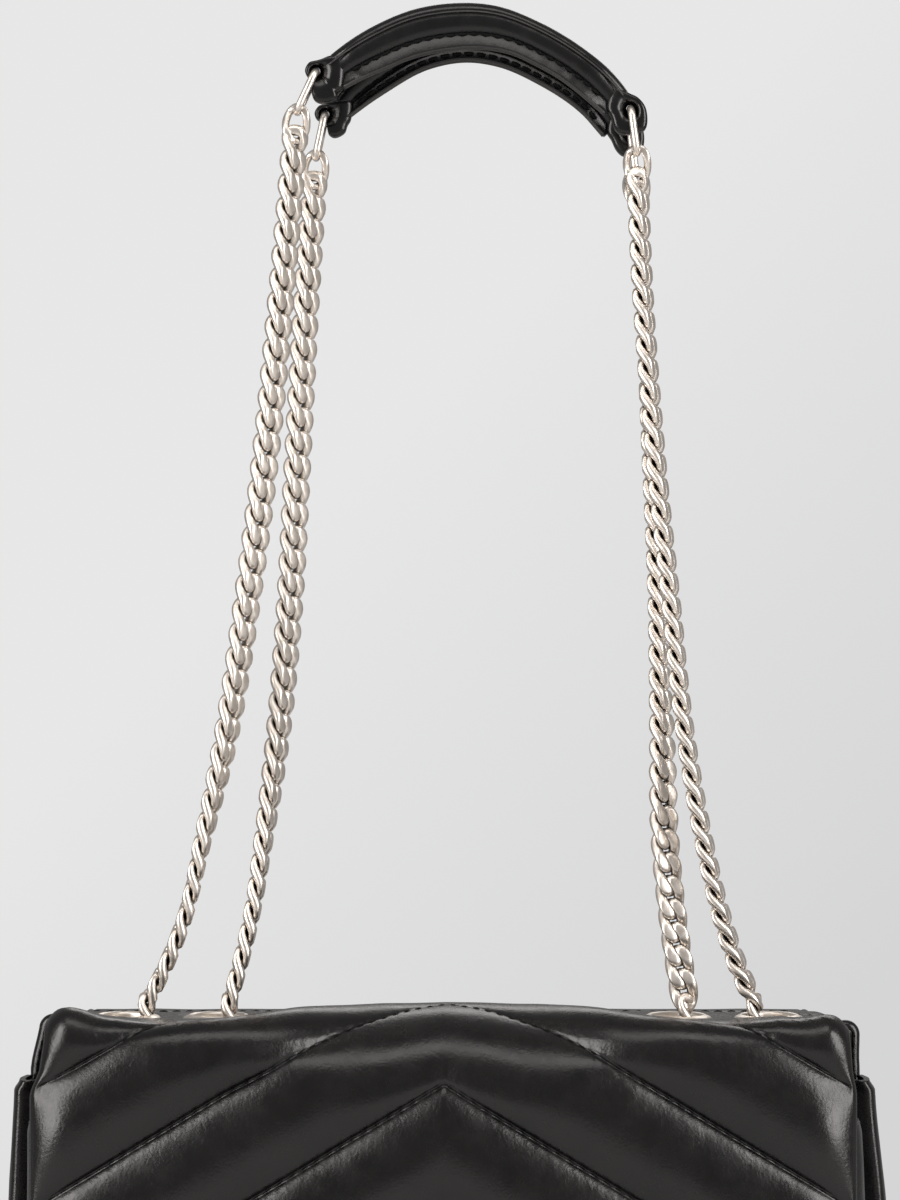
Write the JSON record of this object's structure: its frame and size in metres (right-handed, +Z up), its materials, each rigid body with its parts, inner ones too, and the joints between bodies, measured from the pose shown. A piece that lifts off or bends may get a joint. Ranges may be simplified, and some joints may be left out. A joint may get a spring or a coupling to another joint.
{
  "type": "quilted flap shoulder bag",
  "caption": "Small quilted leather flap bag with inverted-V channels, a doubled curb-chain strap through top eyelets and leather shoulder pads.",
  "frame": {"origin": "middle of the flat underside that the bag stands on", "axes": "+Z up, -Y towards the front flap, +X right as seen from the front"},
  "size_m": [0.2374, 0.0893, 0.4212],
  "materials": {
    "leather": "soft smooth black leather with a low sheen",
    "lining": "black woven lining",
    "zip": "black zip tape with metal teeth",
    "metal": "polished pale champagne plating",
    "board": "grey stiffening board",
    "foam": "dark foam strip"
  },
  "bodies": {
    "bag": {"base_panel": "leather", "base_board": "board", "front_panel": "leather", "back_panel": "leather", "left_gusset": "leather", "right_gusset": "leather", "lining": "lining", "back_pocket": "leather", "zip_pocket_bag": "lining", "zip_tape": "zip", "magnet_socket": "metal"},
    "roof": {"roof_leather": "leather", "roof_lining": "lining", "left_outer_eyelet": "metal", "left_outer_eyelet_washer": "metal", "left_inner_eyelet": "metal", "left_inner_eyelet_washer": "metal", "right_outer_eyelet": "metal", "right_outer_eyelet_washer": "metal", "right_inner_eyelet": "metal", "right_inner_eyelet_washer": "metal", "left_under_chain": "metal", "right_under_chain": "metal"},
    "flap": {"flap_leather": "leather", "flap_lining": "lining", "magnet_stud": "metal"},
    "zip_slider_body": {"zip_slider": "metal"},
    "zip_pull_body": {"zip_pull": "metal"},
    "front_strap_lower": {"front_left_chain_lower": "metal", "front_right_chain_lower": "metal"},
    "front_strap_upper": {"front_left_chain_upper": "metal", "front_right_chain_upper": "metal"},
    "front_pad": {"front_pad_cover": "leather", "front_pad_core": "foam", "front_left_pad_loop": "leather", "front_right_pad_loop": "leather", "front_left_ring": "metal", "front_right_ring": "metal"},
    "rear_strap_lower": {"rear_left_chain_lower": "metal", "rear_right_chain_lower": "metal"},
    "rear_strap_upper": {"rear_left_chain_upper": "metal", "rear_right_chain_upper": "metal"},
    "rear_pad": {"rear_pad_cover": "leather", "rear_pad_core": "foam", "rear_left_pad_loop": "leather", "rear_right_pad_loop": "leather", "rear_left_ring": "metal", "rear_right_ring": "metal"}
  },
  "joints": [
    {"name": "roof_lift", "type": "hinge", "parent": "bag", "child": "roof", "pos_m": [0, 0.035, 0.1475], "axis": [1, 0, 0], "range_deg": [-100, 0]},
    {"name": "flap_fold", "type": "hinge", "parent": "roof", "child": "flap", "pos_m": [0, -0.0474, 0.1475], "axis": [1, 0, 0], "range_deg": [-95, 0]},
    {"name": "zip_slide", "type": "slide", "parent": "bag", "child": "zip_slider_body", "axis": [1, 0, 0], "range_m": [0, 0.13]},
    {"name": "zip_pull_swing", "type": "hinge", "parent": "zip_slider_body", "child": "zip_pull_body", "pos_m": [-0.0665, 0.0241, 0.104], "axis": [-1, 0, 0], "range_deg": [0, 100]},
    {"name": "front_loop_swing", "type": "hinge", "parent": "roof", "child": "front_strap_lower", "pos_m": [0, 0, 0.156], "axis": [1, 0, 0], "range_deg": [0, 70]},
    {"name": "front_loop_fold", "type": "hinge", "parent": "front_strap_lower", "child": "front_strap_upper", "pos_m": [0.00324, -0.00627, 0.274], "axis": [1, 0, 0], "range_deg": [0, 90]},
    {"name": "front_pad_swing", "type": "hinge", "parent": "front_strap_upper", "child": "front_pad", "pos_m": [0.00517, -0.00649, 0.38657], "axis": [0.9928, 0, -0.1202], "range_deg": [0, 80]},
    {"name": "rear_loop_swing", "type": "hinge", "parent": "roof", "child": "rear_strap_lower", "pos_m": [0, 0, 0.156], "axis": [-1, 0, 0], "range_deg": [0, 70]},
    {"name": "rear_loop_fold", "type": "hinge", "parent": "rear_strap_lower", "child": "rear_strap_upper", "pos_m": [0.00709, 0.00627, 0.274], "axis": [-1, 0, 0], "range_deg": [0, 90]},
    {"name": "rear_pad_swing", "type": "hinge", "parent": "rear_strap_upper", "child": "rear_pad", "pos_m": [0.00761, 0.00648, 0.37902], "axis": [-0.9985, 0, 0.0551], "range_deg": [0, 80]}
  ]
}
